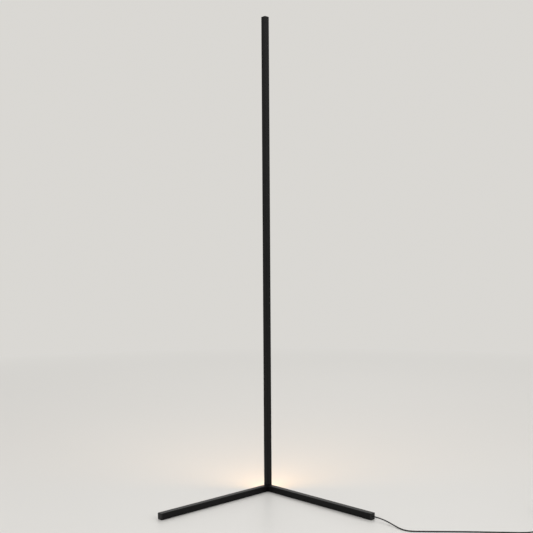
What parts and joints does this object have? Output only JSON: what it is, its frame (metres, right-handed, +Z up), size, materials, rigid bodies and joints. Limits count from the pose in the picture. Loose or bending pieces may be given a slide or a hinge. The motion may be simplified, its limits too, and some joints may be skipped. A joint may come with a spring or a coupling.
{
  "type": "corner floor lamp",
  "caption": "Slim black corner floor lamp: a square light column that shines rearward from its corner, on two legs at right angles, with a thin cord, inline foot switch and plug-in adapter.",
  "frame": {"origin": "on the floor, at the column's axis, which is the middle of the corner foot's underside", "axes": "+Z up along the column; -Y is the front, towards the viewer and between the two legs; the right leg runs to +X and -Y, and the light leaves the column towards +Y"},
  "size_m": [1.085, 0.411, 1.4],
  "materials": {
    "column_black": "black anodised, satin, fine lengthwise drawing lines",
    "diffuser_milky": "milky polycarbonate, lit warm white from inside",
    "strip_white": "white solder mask on a flexible board",
    "led_phosphor": "yellow phosphor in a small white frame, lit",
    "resistor_black": "matt black chip resistors",
    "cap_black": "black powder coat, satin",
    "screw_black": "black oxide steel",
    "screw_zinc": "bright zinc plated steel",
    "block_black": "die-cast zinc, black powder coat",
    "leg_black": "steel tube, smooth satin black powder coat",
    "end_cap_plastic": "black moulded nylon, satin",
    "foot_rubber": "black rubber, matt",
    "grommet_rubber": "black rubber, matt",
    "tie_nylon": "natural nylon cable tie",
    "cord_pvc": "black PVC sheath, soft sheen",
    "lead_red": "red PVC insulation",
    "lead_black": "black PVC insulation",
    "switch_plastic": "black moulded ABS, fine spark texture",
    "button_plastic": "dark grey moulded ABS, polished dish",
    "unit_plastic": "dark grey phenolic",
    "strap_fabric": "woven black strap",
    "adapter_plastic": "black moulded polycarbonate, fine spark texture",
    "pin_nickel": "nickel-plated brass",
    "board_green": "green solder mask",
    "parts_mixed": "transformer tape and capacitor sleeves"
  },
  "bodies": {
    "lamp": {"column_profile": "column_black", "diffuser": "diffuser_milky", "led_board": "strip_white", "led_chips": "led_phosphor", "led_resistors": "resistor_black", "top_cap": "cap_black", "top_cap_screws": "screw_black", "corner_block": "block_black", "column_screws": "screw_zinc", "leg_left": "leg_black", "leg_right": "leg_black", "leg_screws": "screw_black", "leg_left_cap": "end_cap_plastic", "leg_right_cap": "end_cap_plastic", "corner_foot": "foot_rubber", "leg_left_foot": "foot_rubber", "leg_right_foot": "foot_rubber", "cord_grommet": "grommet_rubber", "cord_stop": "tie_nylon", "inner_cord": "cord_pvc", "strip_lead_positive": "lead_red", "strip_lead_negative": "lead_black", "floor_cord": "cord_pvc", "switch_base": "switch_plastic", "switch_cover": "switch_plastic", "switch_unit": "unit_plastic", "switch_wires": "lead_red", "switch_screws": "screw_zinc", "switch_inlet_relief": "grommet_rubber", "switch_outlet_relief": "grommet_rubber", "coil_inlet_cord": "cord_pvc", "cord_coil": "cord_pvc", "coil_tie": "strap_fabric", "adapter_cord": "cord_pvc", "adapter_relief": "grommet_rubber", "adapter_shell": "adapter_plastic", "adapter_back": "adapter_plastic", "adapter_pins": "pin_nickel", "adapter_board": "board_green", "adapter_parts": "parts_mixed"},
    "button": {"switch_button": "button_plastic"}
  },
  "joints": [
    {"name": "switch_press", "type": "slide", "parent": "lamp", "child": "button", "axis": [0, 0, -1], "range_m": [0, 0.0018], "stiffness_N_per_m": 1500}
  ]
}
